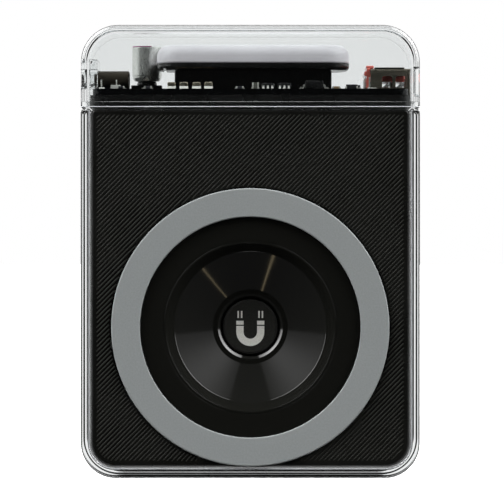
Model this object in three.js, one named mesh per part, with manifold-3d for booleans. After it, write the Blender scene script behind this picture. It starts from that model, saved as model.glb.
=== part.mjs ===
// Portable watch demagnetizer in a clear case, standing upright.
// Millimetres. +X is right, +Y is back, +Z is up. The origin is the middle of the bottom.

import * as THREE from 'three';
import { mergeVertices } from 'three/addons/utils/BufferGeometryUtils.js';
import Module from 'manifold-3d';

const wasm = await Module();
wasm.setup();

// ---------------------------------------------------------------- driving sizes

const WIDTH = 72;
const HEIGHT = 96.2;
const DEPTH = 28;
const PART_LINE = 78.7; // height of the cap's lower edge
const GAP = 0.3; // between shells, all round
const SEAT = 0.05; // between pieces that rest on each other

const HALF_WIDTH = WIDTH / 2;
const FRONT = -DEPTH / 2; // face of the pad ring
const BACK = DEPTH / 2; // face of the back cover
const SHELL_FRONT = FRONT + 0.4; // the clear shells stand back from both faces
const SHELL_BACK = BACK - 0.4;
const PANEL_FRONT = FRONT + 0.7;
const PANEL_BACK = PANEL_FRONT + 1.6;

const CORNER = 8; // outer corner of the case, seen from the front
const EDGE_ROUND = 1.2; // rounding of the case's front and back edges
const CAP_WALL = 1.3;
const SLEEVE_WALL = 1.9;

const CORE_HALF_WIDTH = HALF_WIDTH - SLEEVE_WALL - 0.2; // black body inside the sleeve
const CORE_BOTTOM = 2.3;
const CORE_TOP = PART_LINE - GAP;
const CORE_CORNER = 5.3;
const HOUSING_WALL = 1.5;
const HOUSING_FRONT = PANEL_BACK + SEAT;
const HOUSING_BACK = BACK - 2;

const DISH_HEIGHT = 32; // centre of the dish and everything round it
const PAD_OUTER = 29.5;
const PAD_INNER = 23.4;
const BEVEL_OUTER = 17.9;
const CONE_OUTER = 16.1;
const LEDGE_OUTER = 8;
const HOLE_RADIUS = 6.35;
const DISH_FACE = PANEL_FRONT + 0.2;
const CONE_FRONT = DISH_FACE + 2;
const LEDGE_FACE = CONE_FRONT + 3.8;
const HUB_BACK = LEDGE_FACE + 3.7;

const BUTTON_RADIUS = 5.95;
const BUTTON_FACE = LEDGE_FACE + 0.8;
const BUTTON_TRAVEL = 0.5;

const COIL_FRONT = HOUSING_FRONT + HOUSING_WALL + 0.2;
const COIL_BACK = COIL_FRONT + 14;
const COIL_INNER = 18;
const COIL_OUTER = 27.3;

const TRAY_BOTTOM = PART_LINE;
const TRAY_TOP = TRAY_BOTTOM + 2.65;
const BOARD_BOTTOM = TRAY_TOP + SEAT;
const BOARD_TOP = BOARD_BOTTOM + 1.3;
const BOARD_HALF_WIDTH = 33.6;
const BOARD_HALF_DEPTH = 11.7;
const WIRE_SLOT = { half: 5, front: 4, back: 9 }; // where the leads pass from body to cap

const FAR = 100; // past every piece, for cutting blocks

const ROUND_SIDES = 56; // facets of the large round pieces
const SMALL_SIDES = 20;

// ---------------------------------------------------------------- materials

function material(color, roughness, metalness = 0) {
  return new THREE.MeshStandardMaterial({ color, roughness, metalness });
}

function clearPlastic() {
  const clear = material(0xe8eeee, 0.05);
  clear.transparent = true;
  clear.opacity = 0.3;
  return clear;
}

const blackSatin = () => material(0x151514, 0.45);
const blackGloss = () => material(0x0c0c0c, 0.2);
const padGrey = () => material(0x828685, 0.75);
const whiteLens = () => material(0xe6e6ea, 0.5);
const redPlastic = () => material(0xb01b12, 0.4);
const steel = () => material(0xb4b4b0, 0.3, 1);
const darkSteel = () => material(0x5c5b57, 0.4, 1);
const aluminium = () => material(0xa9aca9, 0.35, 1);
const copper = () => material(0xa4542a, 0.4, 1);
const boardBlack = () => material(0x0b0c0d, 0.4);
const chipBlack = () => material(0x1b1b1c, 0.55);
const ceramic = () => material(0x7d6a4e, 0.5);

// ---------------------------------------------------------------- solid helpers

// A closed geometry as a manifold solid.
function solid(geometry) {
  const bare = geometry.index ? geometry.toNonIndexed() : geometry.clone();
  bare.deleteAttribute('normal');
  bare.deleteAttribute('uv');
  const merged = mergeVertices(bare, 1e-4);
  return new wasm.Manifold(new wasm.Mesh({
    numProp: 3,
    vertProperties: merged.attributes.position.array,
    triVerts: new Uint32Array(merged.index.array),
  }));
}

function geometryOf(manifold) {
  const mesh = manifold.getMesh();
  const geometry = new THREE.BufferGeometry();
  geometry.setAttribute('position', new THREE.BufferAttribute(mesh.vertProperties, 3));
  geometry.setIndex(new THREE.BufferAttribute(mesh.triVerts, 1));
  return geometry.toNonIndexed();
}

function cut(geometry, ...tools) {
  return geometryOf(tools.reduce((rest, tool) => rest.subtract(solid(tool)), solid(geometry)));
}

function join(geometry, ...others) {
  return geometryOf(others.reduce((rest, other) => rest.add(solid(other)), solid(geometry)));
}

function block([x0, y0, z0], [x1, y1, z1]) {
  const box = new THREE.BoxGeometry(x1 - x0, y1 - y0, z1 - z0);
  return box.translate((x0 + x1) / 2, (y0 + y1) / 2, (z0 + z1) / 2);
}

// A box given by its middle in X and Y, its size, and the height it stands on.
function standing(width, depth, height, x = 0, y = 0, z = 0) {
  return block([x - width / 2, y - depth / 2, z], [x + width / 2, y + depth / 2, z + height]);
}

// A rectangle with its own radius at each corner: lower left, lower right, upper right, upper left.
function roundedOutline(x0, y0, x1, y1, [ll, lr, ur, ul], Kind = THREE.Shape) {
  const outline = new Kind();
  outline.moveTo(x0 + ll, y0);
  outline.lineTo(x1 - lr, y0);
  if (lr) outline.absarc(x1 - lr, y0 + lr, lr, -Math.PI / 2, 0);
  outline.lineTo(x1, y1 - ur);
  if (ur) outline.absarc(x1 - ur, y1 - ur, ur, 0, Math.PI / 2);
  outline.lineTo(x0 + ul, y1);
  if (ul) outline.absarc(x0 + ul, y1 - ul, ul, Math.PI / 2, Math.PI);
  outline.lineTo(x0, y0 + ll);
  if (ll) outline.absarc(x0 + ll, y0 + ll, ll, Math.PI, 1.5 * Math.PI);
  return outline;
}

function evenCorners(radius) {
  return [radius, radius, radius, radius];
}

function circleHole(x, y, radius) {
  const hole = new THREE.Path();
  hole.absarc(x, y, radius, 0, 2 * Math.PI);
  return hole;
}

// Extrudes an outline from low to high, keeping its size where an edge is rounded by round.
function extrusion(outline, low, high, { round = 0, steps = 3, curveSegments = 8 } = {}) {
  const geometry = new THREE.ExtrudeGeometry(outline, {
    depth: high - low - 2 * round,
    bevelEnabled: round > 0,
    bevelThickness: round,
    bevelSize: round,
    bevelOffset: -round,
    bevelSegments: steps,
    curveSegments,
  });
  return geometry.translate(0, 0, low + round);
}

// The outline lies in X and Z, and the piece runs from front to back.
function alongY(outline, front, back, options) {
  return extrusion(outline, -back, -front, options).rotateX(Math.PI / 2);
}

// The outline lies in Y and Z, and the piece runs from left to right.
function alongX(outline, left, right, options) {
  const turn = new THREE.Matrix4().makeBasis(
    new THREE.Vector3(0, 1, 0),
    new THREE.Vector3(0, 0, 1),
    new THREE.Vector3(1, 0, 0),
  );
  return extrusion(outline, left, right, options).applyMatrix4(turn);
}

// Turns a closed or on-axis profile of [radius, y] points about the Y axis.
function turned(profile, sides = ROUND_SIDES) {
  const points = profile.map(([radius, y]) => new THREE.Vector2(radius, y));
  const open = points[0].x > 0 || points.at(-1).x > 0;
  if (open) points.push(points[0].clone());
  const area = THREE.ShapeUtils.area(points);
  if (area < 0) points.reverse();
  return new THREE.LatheGeometry(points, sides);
}

// Points of a quarter round from angle a to angle b, in degrees, about [radius, y].
function arcPoints([centreRadius, centreY], size, a, b, steps = 3) {
  return Array.from({ length: steps + 1 }, (_, i) => {
    const angle = THREE.MathUtils.degToRad(a + ((b - a) * i) / steps);
    return [centreRadius + size * Math.cos(angle), centreY + size * Math.sin(angle)];
  });
}

// ---------------------------------------------------------------- the assembly

const demagnetizer = new THREE.Group();
const dishUnit = new THREE.Group(); // everything round the axis of the dish
const boardUnit = new THREE.Group(); // everything standing on the circuit board
dishUnit.position.z = DISH_HEIGHT;
boardUnit.position.z = BOARD_TOP;
demagnetizer.add(dishUnit, boardUnit);

function add(parent, name, geometry, look) {
  const mesh = new THREE.Mesh(geometry, look);
  mesh.name = name;
  parent.add(mesh);
  return mesh;
}

// ---------------------------------------------------------------- case

const USB_C = { y: -4, width: 8.94, height: 3.3, left: -33.3, right: -26, lift: 0.3 };
const USB_A = { y: 0, width: 13.1, height: 5.7, left: 25.8, right: 34.2, sunk: 1.2 };
const PORT_CLEARANCE = 0.35;

const USB_C_MIDDLE = BOARD_TOP + USB_C.lift + USB_C.height / 2;

function usbCOutline(grow = 0, Kind = THREE.Shape) {
  const radius = USB_C.height / 2 + grow;
  const low = USB_C_MIDDLE - radius;
  const high = USB_C_MIDDLE + radius;
  const half = USB_C.width / 2 + grow;
  return roundedOutline(USB_C.y - half, low, USB_C.y + half, high, evenCorners(radius - 0.01), Kind);
}

function usbAOutline(grow = 0, Kind = THREE.Shape) {
  const half = USB_A.width / 2 + grow;
  const bottom = BOARD_TOP - USB_A.sunk - grow;
  const top = bottom + USB_A.height + 2 * grow;
  return roundedOutline(USB_A.y - half, bottom, USB_A.y + half, top, evenCorners(0.6), Kind);
}

// Clear cap: a thin box, open below, with a rebated rim and a collared port at each end.
function topCap() {
  const rimStep = 0.7;
  const rimHeight = 1.2;
  const collarReach = 2.2;
  const innerHalf = HALF_WIDTH - CAP_WALL;
  const innerTop = HEIGHT - CAP_WALL;
  const innerFront = SHELL_FRONT + CAP_WALL;
  const innerBack = SHELL_BACK - CAP_WALL;
  const outer = alongY(
    roundedOutline(-HALF_WIDTH, PART_LINE - 3, HALF_WIDTH, HEIGHT, [0, 0, CORNER, CORNER]),
    SHELL_FRONT, SHELL_BACK, { round: EDGE_ROUND, curveSegments: 6 },
  );
  const innerCorner = CORNER - CAP_WALL;
  const hollow = alongY(
    roundedOutline(-innerHalf, PART_LINE - 4, innerHalf, innerTop, [0, 0, innerCorner, innerCorner]),
    innerFront, innerBack, { round: 0.8, steps: 2, curveSegments: 6 },
  );
  const below = block([-FAR, -FAR, 0], [FAR, FAR, PART_LINE]);
  const rebate = block(
    [-innerHalf - rimStep, innerFront - rimStep, PART_LINE - 1],
    [innerHalf + rimStep, innerBack + rimStep, PART_LINE + rimHeight],
  );
  const collarHalf = USB_C.width / 2 + 2.1;
  const collar = block(
    [-innerHalf - 0.1, USB_C.y - collarHalf, BOARD_TOP + 0.35],
    [-innerHalf + collarReach, USB_C.y + collarHalf, BOARD_TOP + 6.35],
  );
  const usbCHole = alongX(usbCOutline(PORT_CLEARANCE), -FAR, -innerHalf + collarReach + 1);
  const usbAHole = alongX(usbAOutline(PORT_CLEARANCE), innerHalf - 1, FAR);
  const shell = cut(outer, hollow, below, rebate);
  return cut(join(shell, collar), usbCHole, usbAHole);
}

const SLEEVE_CORNER = CORNER - 0.5;

// Clear sleeve: a U of side walls and floor, open in front, behind and above.
function clearSleeve() {
  const inner = HALF_WIDTH - SLEEVE_WALL;
  const floor = CORE_BOTTOM - 0.2;
  const outerCorner = SLEEVE_CORNER;
  const innerCorner = CORE_CORNER + 0.2;
  const outline = new THREE.Shape();
  outline.moveTo(-HALF_WIDTH, CORE_TOP);
  outline.lineTo(-HALF_WIDTH, outerCorner);
  outline.absarc(-HALF_WIDTH + outerCorner, outerCorner, outerCorner, Math.PI, 1.5 * Math.PI);
  outline.lineTo(HALF_WIDTH - outerCorner, 0);
  outline.absarc(HALF_WIDTH - outerCorner, outerCorner, outerCorner, 1.5 * Math.PI, 2 * Math.PI);
  outline.lineTo(HALF_WIDTH, CORE_TOP);
  outline.lineTo(inner, CORE_TOP);
  outline.lineTo(inner, floor + innerCorner);
  outline.absarc(inner - innerCorner, floor + innerCorner, innerCorner, 0, -Math.PI / 2, true);
  outline.lineTo(-inner + innerCorner, floor);
  outline.absarc(-inner + innerCorner, floor + innerCorner, innerCorner, 1.5 * Math.PI, Math.PI, true);
  outline.lineTo(-inner, CORE_TOP);
  return alongY(outline, SHELL_FRONT, HOUSING_BACK, { round: 0.4, steps: 2 });
}

function coreOutline(inset = 0, Kind = THREE.Shape) {
  const half = CORE_HALF_WIDTH - inset;
  const low = CORE_CORNER - inset;
  const high = Math.max(1.2 - inset, 0.2);
  return roundedOutline(
    -half, CORE_BOTTOM + inset, half, CORE_TOP - inset, [low, low, high, high], Kind,
  );
}

// Black face plate with a round hole for the dish.
function frontPanel() {
  const outline = coreOutline();
  outline.holes.push(circleHole(0, DISH_HEIGHT, PAD_INNER + 0.2));
  return alongY(outline, PANEL_FRONT, PANEL_BACK, { curveSegments: 12 });
}

const POST_PLACES = [-1, 1].flatMap((side) => [7.2, 72.6].map((z) => ({ x: side * 29, z })));
const BATTERY = { radius: 7, half: 24.4, y: -1, z: 68.4 };
const POST_RADIUS = 2.9;
const SCREW_HOLE = 1.35;

function roundBar(x, z, radius, front, back, sides = SMALL_SIDES) {
  const bar = new THREE.CylinderGeometry(radius, radius, back - front, sides);
  return bar.translate(x, (front + back) / 2, z);
}

function wireSlot(low, high) {
  return block([-WIRE_SLOT.half, WIRE_SLOT.front, low], [WIRE_SLOT.half, WIRE_SLOT.back, high]);
}

// Black tub, open at the back: front wall with the dish's hole, four screw posts, a battery shelf.
function mainHousing() {
  const inside = HOUSING_FRONT + HOUSING_WALL;
  const tub = alongY(coreOutline(), HOUSING_FRONT, HOUSING_BACK);
  const hollow = alongY(coreOutline(HOUSING_WALL), inside, HOUSING_BACK + 1);
  const dishHole = roundBar(0, DISH_HEIGHT, COIL_OUTER, HOUSING_FRONT - 1, inside + 1, ROUND_SIDES);
  const shelfTop = BATTERY.z - BATTERY.radius - 0.4;
  const shelf = block(
    [-CORE_HALF_WIDTH + 1, inside - 0.5, shelfTop - 1.2],
    [CORE_HALF_WIDTH - 1, BATTERY.y + 6, shelfTop],
  );
  const posts = POST_PLACES.map(({ x, z }) => roundBar(x, z, POST_RADIUS, inside - 0.5, HOUSING_BACK));
  const holes = POST_PLACES.map(({ x, z }) => roundBar(x, z, SCREW_HOLE, 2, HOUSING_BACK + 1));
  const shell = cut(tub, hollow, dishHole, wireSlot(CORE_TOP - 4, CORE_TOP + 1));
  return cut(join(shell, shelf, ...posts), ...holes);
}

const SCREW_SEAT = HOUSING_BACK + 0.6;

// Back plate over the housing and the sleeve, with a counterbored hole for each screw.
function backCover() {
  const inset = 0.8;
  const half = HALF_WIDTH - inset;
  const low = SLEEVE_CORNER - inset;
  const outline = roundedOutline(-half, inset, half, CORE_TOP, [low, low, 0.5, 0.5]);
  const plate = alongY(outline, HOUSING_BACK + SEAT, BACK, { round: 0.4, steps: 1 });
  const bores = POST_PLACES.map(({ x, z }) => roundBar(x, z, 3, SCREW_SEAT, BACK + 1));
  const holes = POST_PLACES.map(({ x, z }) => roundBar(x, z, 1.6, HOUSING_BACK - 1, BACK + 1));
  return cut(plate, ...bores, ...holes);
}

// Pan-head screw driven in from the back.
function backScrew({ x, z }) {
  const head = SCREW_SEAT + SEAT;
  const profile = [
    [0, head - 8],
    [1.2, head - 8],
    [1.2, head],
    [2.7, head],
    [2.7, head + 0.7],
    [2.1, head + 1.1],
    [0, head + 1.1],
  ];
  return turned(profile, 16).translate(x, 0, z);
}

add(demagnetizer, 'top_cap', topCap(), clearPlastic());
add(demagnetizer, 'clear_sleeve', clearSleeve(), clearPlastic());
add(demagnetizer, 'front_panel', frontPanel(), blackSatin());
add(demagnetizer, 'main_housing', mainHousing(), blackSatin());
add(demagnetizer, 'back_cover', backCover(), blackSatin());
POST_PLACES.forEach((place, i) => {
  add(demagnetizer, `back_screw_${i + 1}`, backScrew(place), steel());
});

// ---------------------------------------------------------------- dish and button

// Soft flat ring on the face, which the watch lies on.
function padRing() {
  const round = 0.15;
  return turned([
    [PAD_INNER, PANEL_FRONT - SEAT],
    [PAD_INNER, FRONT + round],
    [PAD_INNER + round, FRONT],
    [PAD_OUTER - round, FRONT],
    [PAD_OUTER, FRONT + round],
    [PAD_OUTER, PANEL_FRONT - SEAT],
  ], 72);
}

// Funnel-shaped dish: flat rim, steep bevel, shallow cone, ledge and button hole, with a flange behind.
function dish() {
  const flangeRadius = COIL_OUTER - GAP;
  const flangeFront = PANEL_BACK + 2 * SEAT;
  const flangeBack = flangeFront + 1.3;
  const rimRadius = PAD_INNER - 0.1;
  const edge = 0.6;
  return turned([
    [HOLE_RADIUS, HUB_BACK],
    [HOLE_RADIUS, LEDGE_FACE + edge],
    [HOLE_RADIUS + edge, LEDGE_FACE],
    [LEDGE_OUTER, LEDGE_FACE],
    [CONE_OUTER, CONE_FRONT],
    [BEVEL_OUTER, DISH_FACE],
    [rimRadius, DISH_FACE],
    [rimRadius, flangeFront],
    [flangeRadius, flangeFront],
    [flangeRadius, flangeBack],
    [BEVEL_OUTER - 0.1, flangeBack],
    [CONE_OUTER + 0.5, CONE_FRONT + 1.6],
    [LEDGE_OUTER + 0.4, LEDGE_FACE + 1.8],
    [LEDGE_OUTER + 0.4, HUB_BACK],
  ]);
}

const BUTTON_FLANGE = HUB_BACK + 0.1;
const BUTTON_BACK = BUTTON_FLANGE + 0.9;

// Round push button, kept in by a flange behind the dish's hub.
function buttonCap() {
  const round = 0.5;
  return turned([
    [0, BUTTON_FACE],
    ...arcPoints([BUTTON_RADIUS - round, BUTTON_FACE + round], round, 270, 360),
    [BUTTON_RADIUS, BUTTON_FLANGE],
    [7.6, BUTTON_FLANGE],
    [7.6, BUTTON_BACK],
    [0, BUTTON_BACK],
  ], 40);
}

const SWITCH_FRONT = BUTTON_BACK + BUTTON_TRAVEL + 0.2;
const SWITCH_HEIGHT = 3.6;
const BUTTON_BOARD_FRONT = SWITCH_FRONT + SWITCH_HEIGHT + SEAT;
const BUTTON_BOARD_BACK = BUTTON_BOARD_FRONT + 1.2;
const PLUNGER_RADIUS = 1.7;

function switchPlunger() {
  return roundBar(0, 0, PLUNGER_RADIUS, BUTTON_BACK + SEAT, SWITCH_FRONT + 2);
}

function switchBody() {
  const outline = roundedOutline(-3, -3, 3, 3, evenCorners(0.4));
  outline.holes.push(circleHole(0, 0, PLUNGER_RADIUS + 0.1));
  return alongY(outline, SWITCH_FRONT, SWITCH_FRONT + SWITCH_HEIGHT);
}

const BOARD_SCREW_RADIUS = 15.6; // distance of the two small screws from the axis

function buttonBoard() {
  const disc = roundBar(0, 0, COIL_INNER - 0.4, BUTTON_BOARD_FRONT, BUTTON_BOARD_BACK, 40);
  const holes = [-1, 1].map((side) => (
    roundBar(side * BOARD_SCREW_RADIUS, 0, 1, BUTTON_BOARD_FRONT - 1, BUTTON_BOARD_BACK + 1, 12)
  ));
  return cut(disc, ...holes);
}

// Small screw along Y whose head faces the front.
function smallScrew(headFront, length) {
  const shank = headFront + 0.9;
  return turned([
    [0, headFront],
    [1.6, headFront],
    [1.6, shank],
    [0.8, shank],
    [0.8, shank + length],
    [0, shank + length],
  ], 12);
}

// Spool: a tube with two outer flanges, and an inner flange that carries the button's board.
function coilBobbin() {
  const wall = 1;
  const seat = BUTTON_BOARD_BACK + SEAT;
  const spool = turned([
    [COIL_INNER, COIL_FRONT],
    [COIL_OUTER, COIL_FRONT],
    [COIL_OUTER, COIL_FRONT + wall],
    [COIL_INNER + wall, COIL_FRONT + wall],
    [COIL_INNER + wall, COIL_BACK - wall],
    [COIL_OUTER, COIL_BACK - wall],
    [COIL_OUTER, COIL_BACK],
    [13, COIL_BACK],
    [13, seat],
    [COIL_INNER, seat],
  ], 48);
  const holes = [-1, 1].map((side) => (
    roundBar(side * BOARD_SCREW_RADIUS, 0, 0.95, seat - 1, COIL_BACK + 1, 12)
  ));
  return cut(spool, ...holes);
}

function coilWinding() {
  const front = COIL_FRONT + 1 + GAP / 3;
  const back = COIL_BACK - 1 - GAP / 3;
  return turned([
    [COIL_INNER + 1.2, front],
    [COIL_OUTER - 0.7, front],
    [COIL_OUTER - 0.7, back],
    [COIL_INNER + 1.2, back],
  ], 48);
}

add(dishUnit, 'pad_ring', padRing(), padGrey());
add(dishUnit, 'dish', dish(), blackGloss());
add(dishUnit, 'button_cap', buttonCap(), blackGloss());
add(dishUnit, 'switch_plunger', switchPlunger(), blackSatin());
add(dishUnit, 'switch_body', switchBody(), steel());
add(dishUnit, 'button_board', buttonBoard(), boardBlack());
add(dishUnit, 'coil_bobbin', coilBobbin(), whiteLens());
add(dishUnit, 'coil_winding', coilWinding(), copper());
[-1, 1].forEach((side, i) => {
  const screw = smallScrew(BUTTON_BOARD_FRONT - SEAT - 0.9, 4);
  add(dishUnit, `switch_screw_${i + 1}`, screw, steel()).position.x = side * BOARD_SCREW_RADIUS;
});

// ---------------------------------------------------------------- battery

function batteryCell() {
  const cell = new THREE.CylinderGeometry(BATTERY.radius, BATTERY.radius, 2 * BATTERY.half, 28);
  return cell.rotateZ(Math.PI / 2).translate(0, BATTERY.y, BATTERY.z);
}

function batteryTab(side) {
  const near = side * (BATTERY.half + SEAT);
  const far = side * (BATTERY.half + 0.4);
  return block(
    [Math.min(near, far), BATTERY.y - 3, BATTERY.z - 3],
    [Math.max(near, far), BATTERY.y + 3, BATTERY.z + 3],
  );
}

add(demagnetizer, 'battery_cell', batteryCell(), material(0x2f5f9a, 0.4));
add(demagnetizer, 'battery_tab_minus', batteryTab(-1), steel());
add(demagnetizer, 'battery_tab_plus', batteryTab(1), steel());

// ---------------------------------------------------------------- board and tray

const BOARD_SCREWS = [{ x: -29.5, y: 8.8 }, { x: 22.5, y: 9 }];

function uprightHole(x, y, radius, low, high) {
  const hole = new THREE.CylinderGeometry(radius, radius, high - low, 14);
  return hole.rotateX(Math.PI / 2).translate(x, y, (low + high) / 2);
}

function plateOutline(half, depth, corner) {
  return roundedOutline(-half, -depth, half, depth, evenCorners(corner));
}

// Black neck between body and cap, which carries the circuit board.
function boardTray() {
  const plate = extrusion(plateOutline(34.3, 11.9, 3), TRAY_BOTTOM + SEAT, TRAY_TOP);
  const holes = BOARD_SCREWS.map(({ x, y }) => uprightHole(x, y, 0.95, TRAY_BOTTOM - 1, TRAY_TOP + 1));
  return cut(plate, wireSlot(TRAY_BOTTOM - 1, TRAY_TOP + 1), ...holes);
}

// Circuit board, notched at the right for the sunk socket.
function mainBoard() {
  const board = extrusion(
    plateOutline(BOARD_HALF_WIDTH, BOARD_HALF_DEPTH, 2.5), BOARD_BOTTOM, BOARD_TOP,
  );
  const reach = USB_A.width / 2 + GAP;
  const notch = block(
    [USB_A.left - 0.3, USB_A.y - reach, BOARD_BOTTOM - 1],
    [BOARD_HALF_WIDTH + 1, USB_A.y + reach, BOARD_TOP + 1],
  );
  const holes = BOARD_SCREWS.map(({ x, y }) => uprightHole(x, y, 1, BOARD_BOTTOM - 1, BOARD_TOP + 1));
  return cut(board, notch, ...holes);
}

add(demagnetizer, 'board_tray', boardTray(), blackSatin());
add(demagnetizer, 'main_board', mainBoard(), boardBlack());
BOARD_SCREWS.forEach(({ x, y }, i) => {
  const screw = add(boardUnit, `board_screw_${i + 1}`, smallScrew(0, 3.5), steel());
  screw.rotation.x = -Math.PI / 2;
  screw.position.set(x, y, 0.95);
});

// ---------------------------------------------------------------- internal leads

const LEAD_RADIUS = 0.55;
const LEAD_END = BOARD_BOTTOM - GAP; // just under the circuit board

// A thin round lead along points given from its start to where it meets the board.
function lead(points) {
  const route = new THREE.CatmullRomCurve3(points.map((point) => new THREE.Vector3(...point)));
  const section = new THREE.Shape();
  section.absarc(0, 0, LEAD_RADIUS, 0, 2 * Math.PI);
  return new THREE.ExtrudeGeometry(section, {
    extrudePath: route,
    steps: 14,
    curveSegments: 4,
    bevelEnabled: false,
  });
}

// The last stretch of every lead: up behind the battery and through the slot at x.
function upTheSlot(x) {
  return [
    [x, 8.4, 73],
    [x, 6.6, 77],
    [x, 6.5, LEAD_END],
  ];
}

function batteryLead(side) {
  const start = BATTERY.half + 0.4 + GAP + LEAD_RADIUS;
  return lead([
    [side * start, BATTERY.y, BATTERY.z],
    [side * start, 5, BATTERY.z + 1],
    [side * 20, 8.9, 71],
    [side * 10, 8.9, 71.5],
    ...upTheSlot(side * 4),
  ]);
}

function coilLead(side) {
  return lead([
    [side * 4, COIL_BACK + GAP, 52],
    [side * 4, COIL_BACK + 3, 55],
    [side * 3, 8.4, 63],
    ...upTheSlot(side * 2),
  ]);
}

function switchLead() {
  return lead([
    [0, BUTTON_BOARD_BACK + GAP, DISH_HEIGHT + 6],
    [0, COIL_BACK + 3, DISH_HEIGHT + 12],
    [0, 8.4, 60],
    ...upTheSlot(0),
  ]);
}

const redRubber = () => material(0xa01c18, 0.6);
const blackRubber = () => material(0x141414, 0.6);

add(demagnetizer, 'battery_lead_minus', batteryLead(-1), blackRubber());
add(demagnetizer, 'battery_lead_plus', batteryLead(1), redRubber());
add(demagnetizer, 'coil_lead_start', coilLead(-1), copper());
add(demagnetizer, 'coil_lead_end', coilLead(1), copper());
add(demagnetizer, 'switch_lead', switchLead(), blackRubber());

// ---------------------------------------------------------------- sockets

// A tube with the port's outline and the given wall.
function portShell(outline, wall, left, right) {
  const shape = outline();
  shape.holes.push(outline(-wall, THREE.Path));
  return alongX(shape, left, right, { curveSegments: 6 });
}

function usbCTongue() {
  const rear = block(
    [USB_C.right - 1.6, USB_C.y - 3.4, USB_C_MIDDLE - 1],
    [USB_C.right - 0.2, USB_C.y + 3.4, USB_C_MIDDLE + 1],
  );
  const blade = block(
    [USB_C.left + 0.8, USB_C.y - 3.3, USB_C_MIDDLE - 0.35],
    [USB_C.right - 1, USB_C.y + 3.3, USB_C_MIDDLE + 0.35],
  );
  return join(rear, blade);
}

// The larger shell, with two windows in each side where its springs are pressed out.
function usbAShell() {
  const shell = portShell(usbAOutline, 0.35, USB_A.left, USB_A.right);
  const low = BOARD_TOP + 0.5;
  const windows = [[2.4, 4.6], [5.3, 7.6]].map(([near, far]) => (
    block([USB_A.left + near, -FAR, low], [USB_A.left + far, FAR, low + 2.4])
  ));
  return cut(shell, ...windows);
}

// Red insulator: a block behind the shell with a tongue reaching into it.
function usbAInsulator() {
  const rear = block(
    [USB_A.left - 1.4, USB_A.y - 5.8, BOARD_TOP + 0.1],
    [USB_A.left - 0.1, USB_A.y + 5.8, BOARD_TOP + 5.2],
  );
  const tongue = block(
    [USB_A.left - 0.2, USB_A.y - 5.6, BOARD_TOP + 1.7],
    [USB_A.right - 1.2, USB_A.y + 5.6, BOARD_TOP + 3.6],
  );
  return join(rear, tongue);
}

add(demagnetizer, 'usb_c_shell', portShell(usbCOutline, 0.3, USB_C.left, USB_C.right), steel());
add(demagnetizer, 'usb_c_tongue', usbCTongue(), blackSatin());
add(demagnetizer, 'usb_a_shell', usbAShell(), darkSteel());
add(demagnetizer, 'usb_a_insulator', usbAInsulator(), redPlastic());

// ---------------------------------------------------------------- parts on the board

const CAN = { x: -22.5, y: 6.4, radius: 3.2, base: 2.3, height: 7.5 };

// Aluminium can with a rolled lower edge.
function capacitorCan() {
  const r = CAN.radius;
  return turned([
    [0, 0],
    [r - 0.7, 0],
    [r - 0.15, 0.5],
    [r, 1.2],
    [r, CAN.height - 0.3],
    [r - 0.3, CAN.height],
    [0, CAN.height],
  ], 32).rotateX(Math.PI / 2).translate(CAN.x, CAN.y, SEAT + CAN.base + SEAT);
}

function capacitorFoot() {
  const half = CAN.radius + 0.15;
  const outline = new THREE.Shape();
  const chamfer = 1.3;
  outline.moveTo(-half, -half);
  outline.lineTo(half, -half);
  outline.lineTo(half, half - chamfer);
  outline.lineTo(half - chamfer, half);
  outline.lineTo(-half + chamfer, half);
  outline.lineTo(-half, half - chamfer);
  return extrusion(outline, SEAT, SEAT + CAN.base).translate(CAN.x, CAN.y, 0);
}

// White bar, black frame and black box over the row of lamps, stacked upwards.
const BAR = { middle: 0.6, half: 20.7, depth: 7, corner: 5.5, round: 2.4 };
const BOX = { half: 16.8, depth: 6.2, wall: 1.2 };
const BOX_TOP = 4.2;
const FRAME_TOP = BOX_TOP + 1.65;
const BAR_TOP = FRAME_TOP + 3.9;

// What lies between low and high of a bar with rounded edges that runs from bottom to top.
function barSlice(round, [bottom, top], low, high) {
  const outline = roundedOutline(
    BAR.middle - BAR.half, -BAR.depth, BAR.middle + BAR.half, BAR.depth, evenCorners(BAR.corner),
  );
  const bar = extrusion(outline, bottom, top, { round, curveSegments: 6 });
  const above = block([-FAR, -FAR, high], [FAR, FAR, high + FAR]);
  const below = block([-FAR, -FAR, low - FAR], [FAR, FAR, low]);
  return cut(bar, above, below);
}

function lightDiffuser() {
  return barSlice(BAR.round, [FRAME_TOP - 6, BAR_TOP], FRAME_TOP + SEAT, BAR_TOP + 1);
}

function boxOutline(inset, corner, Kind = THREE.Shape) {
  const half = BOX.half - inset;
  const depth = BOX.depth - inset;
  return roundedOutline(
    BAR.middle - half, -depth, BAR.middle + half, depth, evenCorners(corner), Kind,
  );
}

function lightFrame() {
  const low = BOX_TOP + SEAT;
  const solidBar = barSlice(1.5, [low, FRAME_TOP + 6], low, FRAME_TOP);
  const opening = extrusion(boxOutline(BOX.wall + 0.5, 0.4), 0, FAR);
  return cut(solidBar, opening);
}

function lightBox() {
  const outline = boxOutline(0, 0.6);
  outline.holes.push(boxOutline(BOX.wall, 0.4, THREE.Path));
  return extrusion(outline, SEAT, BOX_TOP);
}

function lamp(x) {
  return standing(3.5, 2.8, 1.9, x, 0, SEAT);
}

add(boardUnit, 'capacitor_can', capacitorCan(), aluminium());
add(boardUnit, 'capacitor_foot', capacitorFoot(), blackSatin());
add(boardUnit, 'light_diffuser', lightDiffuser(), whiteLens());
add(boardUnit, 'light_frame', lightFrame(), blackSatin());
add(boardUnit, 'light_box', lightBox(), blackSatin());
[-12, -4, 4, 12].forEach((x, i) => {
  add(boardUnit, `lamp_${i + 1}`, lamp(x), whiteLens());
});

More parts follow.
